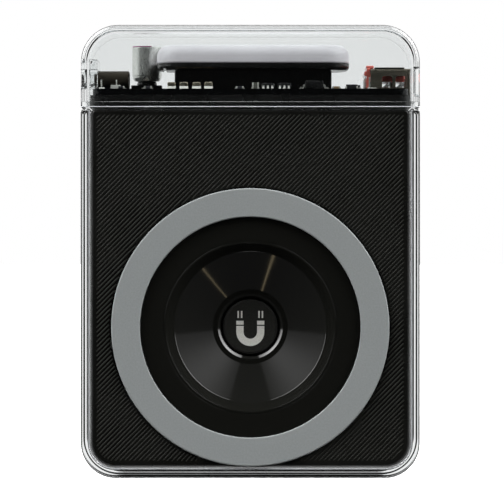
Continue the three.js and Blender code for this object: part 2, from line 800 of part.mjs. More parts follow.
// A chip body with bent legs along two sides. The legs stand in rows that run along Y.
function leggedChip({ bodyX, bodyY, bodyZ, legs, pitch, legWidth, reach }) {
  const lift = 0.15;
  const half = bodyX / 2;
  const thick = 0.2;
  const knee = lift + bodyZ / 2;
  const leg = new THREE.Shape();
  leg.moveTo(half - 0.3, knee);
  leg.lineTo(half + reach * 0.45, knee);
  leg.lineTo(half + reach * 0.6, SEAT + thick);
  leg.lineTo(half + reach, SEAT + thick);
  leg.lineTo(half + reach, SEAT);
  leg.lineTo(half + reach * 0.35, SEAT);
  leg.lineTo(half + reach * 0.25, knee - thick);
  leg.lineTo(half - 0.3, knee - thick);
  const pieces = [];
  for (let i = 0; i < legs; i += 1) {
    const y = (i - (legs - 1) / 2) * pitch;
    const right = alongY(leg, y - legWidth / 2, y + legWidth / 2);
    pieces.push(right, right.clone().rotateZ(Math.PI));
  }
  return join(standing(bodyX, bodyY, bodyZ, 0, 0, lift), ...pieces);
}

const FRONT_ROW = -9.4;
const DRIVER = { bodyX: 3.9, bodyY: 4.9, bodyZ: 1.5, legs: 4, pitch: 1.27, legWidth: 0.42, reach: 1.05 };
const SMALL_CHIP = { bodyX: 1.6, bodyY: 2.9, bodyZ: 1.1, legs: 3, pitch: 0.95, legWidth: 0.4, reach: 0.6 };

add(boardUnit, 'driver_chip', leggedChip(DRIVER), chipBlack()).position.set(13.6, -9, 0);
[3.75, 7.25].forEach((x, i) => {
  const chip = add(boardUnit, `logic_chip_${i + 1}`, leggedChip(SMALL_CHIP), chipBlack());
  chip.position.set(x, FRONT_ROW, 0);
  chip.rotation.z = Math.PI / 2;
});
[-16.8, -14.15, -11.45, -8.9].forEach((x, i) => {
  const part = standing(1.7, 3.2, 1.4, x, FRONT_ROW + 0.4, SEAT);
  add(boardUnit, `ceramic_capacitor_${i + 1}`, part, ceramic());
});
[-27.6, -21.8, -2.25, 18.3].forEach((x, i) => {
  add(boardUnit, `chip_resistor_${i + 1}`, standing(1.6, 0.8, 0.5, x, FRONT_ROW - 0.6, SEAT), chipBlack());
});
add(boardUnit, 'chip_inductor', standing(1.4, 2, 1.3, 1.1, FRONT_ROW, SEAT), darkSteel());
add(boardUnit, 'flat_diode_1', standing(2.6, 1.8, 0.9, 21.6, FRONT_ROW, SEAT), chipBlack());
add(boardUnit, 'flat_diode_2', standing(2.4, 1.8, 0.9, 22.4, FRONT_ROW + 3, SEAT), chipBlack());

export default demagnetizer;
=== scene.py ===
import math

import bmesh
import bpy
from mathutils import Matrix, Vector


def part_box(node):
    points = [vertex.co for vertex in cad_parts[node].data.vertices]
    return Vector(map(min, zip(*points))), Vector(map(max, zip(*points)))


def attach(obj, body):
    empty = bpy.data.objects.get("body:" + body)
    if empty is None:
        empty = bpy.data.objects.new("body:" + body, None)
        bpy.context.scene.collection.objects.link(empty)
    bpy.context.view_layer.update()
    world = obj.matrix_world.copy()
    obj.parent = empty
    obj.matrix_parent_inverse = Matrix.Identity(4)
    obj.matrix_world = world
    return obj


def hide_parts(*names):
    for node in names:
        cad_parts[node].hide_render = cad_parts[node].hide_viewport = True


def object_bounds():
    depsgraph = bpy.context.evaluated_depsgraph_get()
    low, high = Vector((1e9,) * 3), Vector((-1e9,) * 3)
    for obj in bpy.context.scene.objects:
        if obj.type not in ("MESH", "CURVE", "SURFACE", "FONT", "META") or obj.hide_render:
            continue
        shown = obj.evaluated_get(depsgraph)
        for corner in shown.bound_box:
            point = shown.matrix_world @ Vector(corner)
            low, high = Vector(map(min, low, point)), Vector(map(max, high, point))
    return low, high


# Looks of a portable demagnetizer in a clear case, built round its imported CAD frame.
# Sizes are in millimetres in the frame's own axes, and become metres when a mesh is made.

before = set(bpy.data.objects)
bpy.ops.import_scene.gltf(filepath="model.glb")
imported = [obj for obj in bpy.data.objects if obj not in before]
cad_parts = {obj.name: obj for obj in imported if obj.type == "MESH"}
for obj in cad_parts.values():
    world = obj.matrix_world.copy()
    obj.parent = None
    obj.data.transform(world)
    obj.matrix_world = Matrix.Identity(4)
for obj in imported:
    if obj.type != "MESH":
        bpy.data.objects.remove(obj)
CAD_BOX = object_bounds()

MM = 0.001
CASE = "case"
BUTTON = "button"


def span(node):
    """Lowest and highest corner of a CAD node, in millimetres."""
    low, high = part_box(node)
    return low / MM, high / MM


def middle_of(node):
    """Middle of a CAD node seen from above."""
    low, high = span(node)
    return (low.x + high.x) / 2, (low.y + high.y) / 2


# -------- sizes

CAP_LOW, CAP_HIGH = span("top_cap")
SLEEVE_LOW, SLEEVE_HIGH = span("clear_sleeve")
PANEL_LOW, PANEL_HIGH = span("front_panel")
PAD_LOW, PAD_HIGH = span("pad_ring")
BUTTON_LOW, BUTTON_HIGH = span("button_cap")
BOARD_TOP = span("main_board")[1].z

CAP_WALL = 1.3
CAP_CORNER = 8
CAP_ROUND = 1.2
SLEEVE_INNER = 34.1
SLEEVE_FLOOR = 2.1
SLEEVE_CORNER = 7.5
SLEEVE_INNER_CORNER = 5.5
PANEL_MIDDLE = (PANEL_LOW.z + PANEL_HIGH.z) / 2
PANEL_CORNER = 5.3
PANEL_BORDER = 1.2
RIDGE_HEIGHT = 0.06
SLANT = math.sqrt(0.5)
PAD_GROOVE = 0.26
COVER_SIDE = 0.5
COVER_BOTTOM = 0.3
RIM_EDGE = 0.2
CORNER_STEPS = 72
EDGE_STEPS = 14

DISH_Z = (PAD_LOW.z + PAD_HIGH.z) / 2
PAD_OUTER = PAD_HIGH.x
PAD_INNER = 23.4
DISH_FACE = span("dish")[0].y
BUTTON_FACE = BUTTON_LOW.y


# -------- shapes

AXES = {
    "x": lambda u, v, w: (w, u, v),
    "y": lambda u, v, w: (u, w, v),
    "z": lambda u, v, w: (u, v, w),
}


def new_shape(points, faces):
    """A closed mesh object from points in millimetres, with its faces turned outwards."""
    mesh = bpy.data.meshes.new("shape")
    mesh.from_pydata([Vector(point) * MM for point in points], [], faces)
    work = bmesh.new()
    work.from_mesh(mesh)
    bmesh.ops.remove_doubles(work, verts=work.verts, dist=0.0005 * MM)
    bmesh.ops.recalc_face_normals(work, faces=work.faces)
    work.to_mesh(mesh)
    work.free()
    shape = bpy.data.objects.new("shape", mesh)
    bpy.context.scene.collection.objects.link(shape)
    return shape


def soften(corners, steps=6):
    """Points of a closed outline given as (u, v, radius) corners, each rounded to its radius."""
    points = []
    for i, (u, v, radius) in enumerate(corners):
        here = Vector((u, v))
        back = (Vector(corners[i - 1][:2]) - here).normalized()
        on = (Vector(corners[(i + 1) % len(corners)][:2]) - here).normalized()
        if radius == 0:
            points.append((u, v))
            continue
        half = back.angle(on) / 2
        centre = here + (back + on).normalized() * radius / math.sin(half)
        first = here + back * radius / math.tan(half) - centre
        last = here + on * radius / math.tan(half) - centre
        points += [tuple(centre + radius * first.slerp(last, k / steps)) for k in range(steps + 1)]
    return points


def rounded_box(u0, v0, u1, v1, radii, inset=0.0, steps=8):
    """A rectangle pulled in by inset. Radii start lower left and go round anticlockwise."""
    a, b, c, d = (max(radius - inset, 0.02) for radius in radii)
    u0, v0, u1, v1 = u0 + inset, v0 + inset, u1 - inset, v1 - inset
    return soften([(u0, v0, a), (u1, v0, b), (u1, v1, c), (u0, v1, d)], steps)


def skin(loops, axis, ring=False):
    """Joins equal loops, given as (points, place along the axis), and closes the ends or the ring."""
    place = AXES[axis]
    count = len(loops[0][0])
    points = [place(u, v, w) for outline, w in loops for u, v in outline]
    rows = len(loops)
    faces = []
    for row in range(rows if ring else rows - 1):
        a, b = row * count, (row + 1) % rows * count
        for i in range(count):
            j = (i + 1) % count
            faces.append((a + i, a + j, b + j, b + i))
    if not ring:
        faces.append(tuple(range(count)))
        faces.append(tuple(range((rows - 1) * count, rows * count)))
    return new_shape(points, faces)


def levels(low, high, low_round, high_round, steps=5):
    """(inset, place) pairs that round off both ends of an extrusion."""
    angles = [math.pi / 2 * i / steps for i in range(steps + 1)]
    made = [(low_round * (1 - math.sin(a)), low + low_round * (1 - math.cos(a))) for a in angles]
    made += [(high_round * (1 - math.cos(a)), high - high_round * (1 - math.sin(a))) for a in angles]
    return list(dict.fromkeys(made))


def slab(
    u0, v0, u1, v1, radii, low, high, axis, low_round=0.0, high_round=0.0, steps=8, edge_steps=5
):
    """A plate with rounded corners in its outline and rounded edges at both ends."""
    loops = [
        (rounded_box(u0, v0, u1, v1, radii, inset, steps), place)
        for inset, place in levels(low, high, low_round, high_round, edge_steps)
    ]
    return skin(loops, axis)


def block(low, high, edge=0.1, steps=3):
    """A block from corner low to corner high with every edge rounded."""
    return slab(
        low[0], low[1], high[0], high[1], [edge] * 4, low[2], high[2], "z", edge, edge, steps
    )


def prism(outline, low, high, axis):
    return skin([(outline, low), (outline, high)], axis)


def tube(outline, wall, low, high, axis, edge=0.08):
    """A hollow section. The outline is a function of how far it is pulled in."""
    loops = [
        (outline(edge), low),
        (outline(0), low + edge),
        (outline(0), high - edge),
        (outline(edge), high),
        (outline(wall - edge), high),
        (outline(wall), high - edge),
        (outline(wall), low + edge),
        (outline(wall - edge), low),
    ]
    return skin(loops, axis, ring=True)


def lathe(profile, centre, axis, sides=160):
    """Turns a profile of (radius, place) about the axis. It closes on itself or on the axis."""
    place = AXES[axis]
    count = len(profile)
    points = []
    for side in range(sides):
        angle = 2 * math.pi * side / sides
        points += [
            place(centre[0] + r * math.cos(angle), centre[1] + r * math.sin(angle), w)
            for r, w in profile
        ]
    faces = []
    for side in range(sides):
        a, b = side * count, (side + 1) % sides * count
        for i in range(count if profile[0][0] > 0 else count - 1):
            j = (i + 1) % count
            faces.append((a + i, a + j, b + j, b + i))
    return new_shape(points, faces)


def bake(shape):
    """Applies the modifiers of a shape to its mesh."""
    bpy.context.view_layer.update()
    graph = bpy.context.evaluated_depsgraph_get()
    mesh = bpy.data.meshes.new_from_object(shape.evaluated_get(graph))
    shape.modifiers.clear()
    shape.data = mesh


def carve(shape, *tools, operation="DIFFERENCE"):
    """Cuts the tools from a shape, or joins them to it, and removes them."""
    for tool in tools:
        step = shape.modifiers.new("carve", "BOOLEAN")
        step.operation = operation
        step.solver = "EXACT"
        step.object = tool
    bake(shape)
    for tool in tools:
        bpy.data.objects.remove(tool)


def bevel(shape, width, steps=2, angle=50):
    """Breaks every edge sharper than the angle."""
    step = shape.modifiers.new("bevel", "BEVEL")
    step.width = width * MM
    step.segments = steps
    step.limit_method = "ANGLE"
    step.angle_limit = math.radians(angle)
    step.use_clamp_overlap = True
    bake(shape)


def merge(*shapes):
    """One mesh that holds several separate closed shapes."""
    whole = bmesh.new()
    for shape in shapes:
        whole.from_mesh(shape.data)
    whole.to_mesh(shapes[0].data)
    whole.free()
    for shape in shapes[1:]:
        bpy.data.objects.remove(shape)
    return shapes[0]


def piece(shape, name, look, body=CASE, stands_for=(), crease=32):
    """Names, shades and paints a finished shape, and lets it ride on a CAD body."""
    shape.name = name
    shape.data.name = name
    shape.data.materials.clear()
    shape.data.materials.append(LOOKS[look])
    shape.data.shade_smooth()
    shape.data.set_sharp_from_angle(angle=math.radians(crease))
    shape.modifiers.new("normals", "WEIGHTED_NORMAL").keep_sharp = True
    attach(shape, body)
    if stands_for:
        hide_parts(*stands_for)


# -------- material helpers


def add_node(tree, kind, inputs=None, **settings):
    """A new node whose inputs are linked where a socket is given, and set otherwise."""
    made = tree.nodes.new("ShaderNode" + kind)
    for key, value in settings.items():
        setattr(made, key, value)
    for key, value in (inputs or {}).items():
        if isinstance(value, bpy.types.NodeSocket):
            tree.links.new(value, made.inputs[key])
        else:
            made.inputs[key].default_value = value
    return made


def map_range(tree, value, start, end, low, high, **settings):
    """Runs from low to high while the value runs from start to end."""
    inputs = {"Value": value, "From Min": start, "From Max": end, "To Min": low, "To Max": high}
    return add_node(tree, "MapRange", inputs, **settings).outputs[0]


class Look:
    """A node material with one Principled shader and small helpers to wire it."""

    def __init__(self, name, color, roughness, metallic=0.0, **values):
        self.material = bpy.data.materials.new(name)
        self.material.use_nodes = True
        self.tree = self.material.node_tree
        self.links = self.tree.links
        self.shader = self.tree.nodes["Principled BSDF"]
        self.shader.inputs["Base Color"].default_value = (*color, 1)
        self.shader.inputs["Roughness"].default_value = roughness
        self.shader.inputs["Metallic"].default_value = metallic
        for key, value in values.items():
            self.shader.inputs[key.replace("_", " ")].default_value = value
        self.roughness = roughness
        self.normal = None

    def node(self, kind, inputs=None, **settings):
        return add_node(self.tree, kind, inputs, **settings)

    def place(self, scale=(1, 1, 1), turn=(0, 0, 0)):
        """Object coordinates in millimetres, turned and then stretched."""
        source = self.node("TexCoord").outputs["Object"]
        turned = self.node("Mapping", {"Vector": source, "Rotation": turn})
        factors = [factor / MM for factor in scale]
        return self.node("Mapping", {"Vector": turned.outputs[0], "Scale": factors}).outputs[0]

    def noise(self, grain, detail=3.0, scale=(1, 1, 1), turn=(0, 0, 0)):
        """Noise from 0 to 1 whose blotches are about grain millimetres across."""
        inputs = {"Vector": self.place(scale, turn), "Scale": 1 / grain, "Detail": detail}
        return self.node("TexNoise", inputs).outputs["Fac"]

    def tint(self, value, darker, lighter, start=0.3, end=0.7):
        """Base colour that runs from one colour to another with the value."""
        ramp = self.node("ValToRGB", {"Fac": value})
        ends = ((start, darker), (end, lighter))
        for element, (position, color) in zip(ramp.color_ramp.elements, ends):
            element.position = position
            element.color = (*color, 1)
        self.links.new(ramp.outputs["Color"], self.shader.inputs["Base Color"])

    def gloss(self, value, spread):
        """Roughness that wanders by spread either way."""
        low, high = self.roughness - spread, self.roughness + spread
        wandering = map_range(self.tree, value, 0.3, 0.7, low, high)
        self.links.new(wandering, self.shader.inputs["Roughness"])

    def bump(self, value, height):
        """Adds relief of the given height in millimetres."""
        inputs = {"Height": value, "Distance": height * MM, "Strength": 1.0}
        if self.normal:
            inputs["Normal"] = self.normal
        self.normal = self.node("Bump", inputs).outputs[0]
        self.links.new(self.normal, self.shader.inputs["Normal"])


def shaded(color, factor):
    return tuple(channel * factor for channel in color)


def moulded(name, color, roughness, grain=0.25, shade=0.12, spread=0.05, relief=0.004, **values):
    """Moulded plastic, rubber or cast metal: fine grain in colour, gloss and relief."""
    look = Look(name, color, roughness, **values)
    fine = look.noise(grain)
    broad = look.noise(grain * 40, detail=2.0)
    look.tint(fine, shaded(color, 1 - shade), shaded(color, 1 + shade))
    look.gloss(broad, spread)
    if relief:
        look.bump(fine, relief)
    return look.material


def brushed(name, color, roughness, stretch, grain=0.12, shade=0.1, spread=0.08, relief=0.003):
    """Metal with fine lines along the axis whose stretch is small."""
    look = Look(name, color, roughness, metallic=1.0)
    lines = look.noise(grain, detail=4.0, scale=stretch)
    look.tint(lines, shaded(color, 1 - shade), shaded(color, 1 + shade))
    look.gloss(lines, spread)
    look.bump(lines, relief)
    return look.material


# -------- materials


def clear_plastic():
    """Clear polycarbonate. Shadow rays pass straight through it, a little dimmed."""
    look = Look("clear_plastic", (0.93, 0.945, 0.945), 0.0, Transmission_Weight=1.0, IOR=1.56)
    look.tint(look.noise(20.0), (0.925, 0.94, 0.94), (0.935, 0.95, 0.95))
    passing = look.node("BsdfTransparent", {"Color": (0.88, 0.9, 0.9, 1)})
    shadow = look.node("LightPath").outputs["Is Shadow Ray"]
    mix = look.node("MixShader", {0: shadow, 1: look.shader.outputs[0], 2: passing.outputs[0]})
    look.links.new(mix.outputs[0], look.tree.nodes["Material Output"].inputs["Surface"])
    return look.material


def ridge_black():
    """Satin black, a little lighter than the plate, with fine notches across each ridge."""
    color = (0.0145, 0.0149, 0.0125)
    look = Look("ridge_black", color, 0.3, Specular_IOR_Level=0.14)
    notches = look.node(
        "TexWave",
        {"Vector": look.place(turn=(0, math.radians(45), 0)), "Scale": 0.9, "Distortion": 0.0},
        bands_direction="X",
    )
    fine = look.noise(0.3)
    look.tint(fine, shaded(color, 0.8), shaded(color, 1.25))
    look.gloss(look.noise(6.0), 0.05)
    look.bump(notches.outputs["Fac"], 0.012)
    look.bump(fine, 0.006)
    return look.material


def print_white():
    """Pale printed ink with a dusty grain."""
    look = Look("print_white", (0.62, 0.62, 0.58), 0.55)
    fine = look.noise(0.12, detail=2.0)
    look.tint(fine, (0.5, 0.5, 0.46), (0.7, 0.7, 0.66))
    look.bump(fine, 0.004)
    return look.material


def lens_white():
    """Milky plastic that light sinks into, with a faint painted glow that stands in for backlight shining
    through it.
    """
    look = Look(
        "lens_white", (0.44, 0.43, 0.445), 0.38,
        Subsurface_Weight=0.6, Subsurface_Radius=(1.0, 1.0, 1.0), Subsurface_Scale=3 * MM,
        # The emission is painted light: a glow in place of the backdrop's light passing through the lens.
        Emission_Color=(0.85, 0.82, 0.88, 1), Emission_Strength=0.26,
    )
    look.tint(look.noise(5.0), (0.42, 0.41, 0.425), (0.46, 0.45, 0.465))
    look.bump(look.noise(0.4), 0.004)
    return look.material


def board_black():
    """Black solder mask with faint raised traces."""
    look = Look("board_black", (0.0015, 0.0016, 0.0018), 0.16, Specular_IOR_Level=0.25)
    traces = look.node(
        "TexBrick",
        {"Vector": look.place(), "Scale": 0.55, "Mortar Size": 0.06, "Brick Width": 1.6},
        offset=0.37,
    )
    look.tint(traces.outputs["Fac"], (0.0012, 0.0013, 0.0015), (0.003, 0.0035, 0.004), 0.4, 0.6)
    look.bump(traces.outputs["Fac"], 0.01)
    look.bump(look.noise(0.2), 0.001)
    return look.material


def copper_winding():
    """Enamelled wire: fine rings with a slow change of tone."""
    color = (0.5, 0.17, 0.06)
    look = Look("copper_winding", color, 0.3, metallic=1.0)
    turns = look.node(
        "TexWave", {"Vector": look.place(), "Scale": 1.3, "Distortion": 0.2}, bands_direction="Y"
    )
    look.tint(look.noise(3.0), shaded(color, 0.8), shaded(color, 1.2))
    look.bump(turns.outputs["Fac"], 0.12)
    return look.material


LOOKS = {
    "clear": clear_plastic(),
    # Pale grey for thin strips at the glass edges: painted highlight lines where the edges catch light.
    "edge_glint": moulded("edge_highlight_paint", (0.55, 0.56, 0.58), 0.6, 0.3, 0.06),
    "panel": moulded("panel_black", (0.0042, 0.0043, 0.0036), 0.28, 0.3, 0.2, 0.05, 0.002),
    "ridge": ridge_black(),
    "dish": moulded("dish_black", (0.0065, 0.0066, 0.0056), 0.085, 0.12, 0.4, 0.01, 0.0005),
    "button": moulded("button_black", (0.019, 0.0193, 0.0175), 0.2, 0.2, 0.2, 0.04, 0.001),
    "pad": moulded("pad_silicone", (0.232, 0.248, 0.249), 0.72, 0.35, 0.07, 0.06, 0.008),
    "print": print_white(),
    "lens": lens_white(),
    "lamp": moulded("lamp_white", (0.8, 0.79, 0.6), 0.3, 0.3),
    "satin": moulded("satin_black", (0.005, 0.005, 0.0048), 0.26, 0.3, 0.2, 0.05, 0.002),
    "housing": moulded(
        "housing_black", (0.004, 0.004, 0.0038), 0.55, 0.3, 0.2, 0.03, 0.002, Specular_IOR_Level=0.2
    ),
    # Black plastic, darkened further as painted shade: keeps the light box under the diffuser near black.
    "gloss": moulded("gloss_black_painted_shade", (0.0012, 0.0012, 0.0012), 0.14, 0.3, 0.2, 0.04, 0.001),
    "white": moulded("white_plastic", (0.78, 0.78, 0.76), 0.42),
    # Red plastic, lifted toward pink as painted highlight: the part's white highlights are partly folded
    # into its colour.
    "red": moulded("red_plastic", (0.88, 0.2, 0.16), 0.14, 0.3, 0.15, 0.06, 0.001),
    "nickel": brushed("nickel", (0.036, 0.031, 0.024), 0.45, (0.15, 1, 1)),
    "dull": brushed("dull_tin", (0.15, 0.138, 0.11), 0.34, (0.6, 1, 1), 0.16, 0.35, 0.1, 0.006),
    "steel": brushed("screw_steel", (0.58, 0.58, 0.57), 0.28, (1, 1, 1), 0.2),
    "solder": moulded("solder", (0.8, 0.79, 0.74), 0.2, 0.4, 0.1, 0.1, 0.01, metallic=0.45),
    "can": brushed("can_aluminium", (0.6, 0.61, 0.585), 0.28, (1, 1, 0.08), 0.1, 0.03, 0.02, 0.0002),
    "tin": moulded("tin_ends", (0.5, 0.46, 0.36), 0.24, 0.3, 0.15, 0.08, 0.006, metallic=1.0),
    "mark": moulded("can_mark", (0.3, 0.02, 0.16), 0.4, 0.3),
    "board": board_black(),
    "chip": moulded("chip_resin", (0.006, 0.006, 0.0062), 0.3, 0.12, 0.25, 0.06, 0.002),
    "ceramic": moulded("chip_ceramic", (0.3, 0.2, 0.1), 0.45, 0.2),
    "resistor": moulded("resistor_black", (0.02, 0.02, 0.025), 0.3, 0.2),
    "tab_brown": moulded("tab_brown", (0.22, 0.12, 0.06), 0.35, 0.3),
    "ferrite": moulded("ferrite", (0.09, 0.09, 0.075), 0.5, 0.15, 0.25),
    "copper": copper_winding(),
    "battery": moulded("battery_wrap", (0.03, 0.12, 0.34), 0.28, 1.2, 0.1, 0.06, 0.01),
    "red_rubber": moulded("red_rubber", (0.4, 0.02, 0.015), 0.5),
    "black_rubber": moulded("black_rubber", (0.015, 0.015, 0.015), 0.5),
}


def dress(look, slot, *nodes):
    """Gives CAD nodes that stay as they are a finished material."""
    for name in nodes:
        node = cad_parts[name]
        node.material_slots[0].material = LOOKS[look]


# -------- clear case


def small_port():
    """Box of the left socket, whose shell stands a little taller than its CAD stand-in."""
    low, high = span("usb_c_shell")
    return low, high + Vector((0, 0, 0.35))


def port_hole(low, high, corner, start, end):
    """Cutter for a socket's opening, with a small gap all round."""
    gap = 0.35
    return slab(low.y - gap, low.z - gap, high.y + gap, high.z + gap, [corner] * 4, start, end, "x")


def cap_glass():
    """Thin clear cap: rounded outside and in, stepped rim, collar round the left socket."""
    low, high = CAP_LOW, CAP_HIGH
    wall, corner = CAP_WALL, CAP_CORNER
    rim_step, rim_height = 0.7, 1.2
    far, spare = 60, 3
    shell = slab(
        low.x, low.z - spare, high.x, high.z, [0, 0, corner, corner],
        low.y, high.y, "y", CAP_ROUND, CAP_ROUND, CORNER_STEPS, EDGE_STEPS,
    )
    inner = corner - wall
    hollow = slab(
        low.x + wall, low.z - spare - 1, high.x - wall, high.z - wall, [0, 0, inner, inner],
        low.y + wall, high.y - wall, "y", 0.8, 0.8, CORNER_STEPS, EDGE_STEPS,
    )
    below = block((-far, -far, low.z - far), (far, far, low.z + RIM_EDGE))
    step = wall - rim_step
    rebate = slab(
        low.x + step, low.y + step, high.x - step, high.y - step, [1.2] * 4,
        low.z - 1, low.z + rim_height, "z", 0, 0.1,
    )
    carve(shell, hollow, below, rebate)
    port_low, port_high = small_port()
    margin, height, depth = 2.1, 6, 2.3
    collar_in, collar_low = low.x + wall - 0.1, BOARD_TOP + 0.35
    collar = slab(
        port_low.y - margin, collar_low, port_high.y + margin, collar_low + height,
        [0.3, 0.3, 1.2, 1.2], collar_in, collar_in + depth, "x", 0, 0.25,
    )
    carve(shell, collar, operation="UNION")
    round_hole = port_hole(port_low, port_high, 1.99, -far, collar_in + 3)
    square_hole = port_hole(*span("usb_a_shell"), 0.7, high.x - wall - 1, far)
    carve(shell, round_hole, square_hole)
    bevel(shell, 0.2)
    piece(shell, "cap_glass", "clear", stands_for=["top_cap"])

    def rim(inset):
        return rounded_box(low.x, low.y, high.x, high.y, [CAP_ROUND] * 4, inset)

    # A pale strip round the cap's lower rim: a painted highlight line along its edge.
    edge = tube(rim, rim_step, low.z, low.z + RIM_EDGE - 0.01, "z", 0.04)
    piece(edge, "cap_rim_edge", "edge_glint")


def u_outline(top, out, floor, outer, wall, ledge, inner, crown=0.0, lip=0.0):
    """A U with radii outer and inner at the bottom, and crown and lip at the top."""
    corners = [
        (-out, top, crown), (-out, floor, outer), (out, floor, outer), (out, top, crown),
        (wall, top, lip), (wall, ledge, inner), (-wall, ledge, inner), (-wall, top, lip),
    ]
    return soften(corners, CORNER_STEPS)


def sleeve_outline(inset):
    """The U of the clear sleeve, pulled in all round by inset."""
    low, high = SLEEVE_LOW, SLEEVE_HIGH
    return u_outline(
        high.z - inset, high.x - inset, low.z + inset, SLEEVE_CORNER - inset,
        SLEEVE_INNER + inset, SLEEVE_FLOOR - inset, SLEEVE_INNER_CORNER + inset,
        crown=0.85 - inset, lip=0.1,
    )


def sleeve_glass():
    steps = levels(SLEEVE_LOW.y, SLEEVE_HIGH.y, 0.4, 0.3, EDGE_STEPS)
    shape = skin([(sleeve_outline(inset), place) for inset, place in steps], "y")
    piece(shape, "sleeve_glass", "clear", stands_for=["clear_sleeve"])


def sleeve_edge():
    """Pale strip at the inner edge of the sleeve: a fine painted highlight line round the panel."""
    proud, width = 0.02, 0.32
    top = SLEEVE_HIGH.z - 0.3
    near, near_floor = SLEEVE_INNER - proud, SLEEVE_FLOOR + proud
    far, far_floor = near + width, near_floor - width
    inner = SLEEVE_INNER_CORNER - proud
    outline = u_outline(top, far, far_floor, inner + width, near, near_floor, inner)
    front = SLEEVE_LOW.y + 0.15
    strip = prism(outline, front, front + 0.3, "y")
    piece(strip, "sleeve_inner_edge", "edge_glint")


# -------- front panel


def ribbed_margin(x, z):
    """How far a point lies inside the ribbed area of the panel, in millimetres."""
    half_x = PANEL_HIGH.x - PANEL_BORDER
    half_z = (PANEL_HIGH.z - PANEL_LOW.z) / 2 - PANEL_BORDER
    corner = PANEL_CORNER - PANEL_BORDER if z < PANEL_MIDDLE else 0.4
    across = abs(x) - half_x + corner
    along = abs(z - PANEL_MIDDLE) - half_z + corner
    outside = math.hypot(max(across, 0), max(along, 0)) + min(max(across, along), 0)
    ring = math.hypot(x, z - DISH_Z) - PAD_OUTER - PAD_GROOVE
    return min(corner - outside, ring)


def ridge_runs(offset, step=0.3):
    """Stretches of one 45 degree line that lie inside the ribbed area, as lists of points."""
    reach = 60
    runs, run = [], []
    for i in range(int(2 * reach / step)):
        t = -reach + i * step
        x = (t + offset) * SLANT
        z = PANEL_MIDDLE + (t - offset) * SLANT
        if ribbed_margin(x, z) > 0:
            run.append((x, z))
        elif run:
            runs.append(run)
            run = []
    return [run for run in runs if len(run) > 2]


def twill_ridges():
    """Fine raised ridges at 45 degrees over the whole panel, with softly tapered ends."""
    pitch, half, taper, lines = 0.712, 0.19, 0.5, 75
    section = [(-half, 0), (-0.55 * half, 0.78), (0, 1), (0.55 * half, 0.78), (half, 0)]
    base = PANEL_LOW.y + RIDGE_HEIGHT
    sunk = 0.03
    points, faces = [], []
    for number in range(-lines, lines + 1):
        for run in ridge_runs(number * pitch):
            first = len(points)
            for x, z in run:
                ease = min(1, ribbed_margin(x, z) / taper)
                height = RIDGE_HEIGHT * ease * (2 - ease) + sunk
                for side, up in section:
                    points.append((x + side * SLANT, base + sunk - height * up, z - side * SLANT))
            width = len(section)
            for i in range(len(run) - 1):
                a, b = first + i * width, first + (i + 1) * width
                for j in range(width):
                    k = (j + 1) % width
                    faces.append((a + j, a + k, b + k, b + j))
            faces.append(tuple(range(first, first + width)))
            faces.append(tuple(range(len(points) - width, len(points))))
    piece(new_shape(points, faces), "panel_ridges", "ridge", crease=60)


def panel_plate():
    low, high = PANEL_LOW, PANEL_HIGH
    plate = slab(
        low.x, low.z, high.x, high.z, [PANEL_CORNER, PANEL_CORNER, 1.2, 1.2],
        low.y + RIDGE_HEIGHT, high.y, "y", 0.8, 0, 14,
    )
    centre = (0, DISH_Z)
    opening = rectangle(0, low.y - 5, PAD_INNER + 0.2, 5)
    groove = rectangle(PAD_OUTER - 0.1, low.y - 1, PAD_OUTER + PAD_GROOVE, low.y + 0.6)
    carve(plate, lathe(opening, centre, "y", 96), lathe(groove, centre, "y", 240))
    piece(plate, "panel_plate", "panel", stands_for=["front_panel"])


# -------- dish and button


def pad_ring():
    outline = [
        (PAD_INNER, PAD_HIGH.y, 0), (PAD_INNER, PAD_LOW.y, 0.25),
        (PAD_OUTER, PAD_LOW.y, 0.3), (PAD_OUTER, PAD_HIGH.y, 0),
    ]
    ring = lathe(soften(outline, 5), (0, DISH_Z), "y", 240)
    piece(ring, "pad_ring_soft", "pad", stands_for=["pad_ring"])


def dish_bowl():
    """Flat rim, fine step, steep bevel, shallow cone, ledge and the button's round hole."""
    face = DISH_FACE
    cone_front = face + 2
    ledge = cone_front + 3.8
    hub_back = ledge + 3.7
    hole, hub, cone, rim, flange = 6.35, 8.4, 16.1, 23.3, 27
    step, step_floor = 18.3, face + 0.06
    flange_front, flange_back = -11.6, -10.3
    outline = [
        (hole, hub_back, 0), (hole, ledge + 0.46, 0.03), (hole + 0.6, ledge, 0.03), (8, ledge, 0.1),
        (cone, cone_front, 0.3), (cone + 1.8, face, 0.04), (step, face, 0),
        (step + 0.04, step_floor, 0), (step + 0.2, step_floor, 0), (step + 0.24, face, 0),
        (rim, face, 0.1), (rim, flange_front, 0), (flange, flange_front, 0), (flange, flange_back, 0),
        (cone + 1.7, flange_back, 0), (cone + 0.5, cone_front + 1.6, 0), (hub, ledge + 1.8, 0),
        (hub, hub_back, 0),
    ]
    bowl = lathe(soften(outline, 8), (0, DISH_Z), "y", 240)
    piece(bowl, "dish_bowl", "dish", stands_for=["dish"], crease=25)


def button_disc():
    """Flat button with a low step near its edge and a flange behind the dish."""
    face, back = BUTTON_FACE, BUTTON_HIGH.y
    radius, flange, flange_front = 5.95, 7.6, back - 0.9
    outline = [
        (0, face, 0), (radius - 0.5, face, 0.05), (radius - 0.35, face + 0.12, 0.05),
        (radius, face + 0.2, 0.3), (radius, flange_front, 0), (flange, flange_front, 0),
        (flange, back, 0), (0, back, 0),
    ]
    disc = lathe(soften(outline, 5), (0, DISH_Z), "y")
    piece(disc, "button_disc", "button", BUTTON, ["button_cap"])


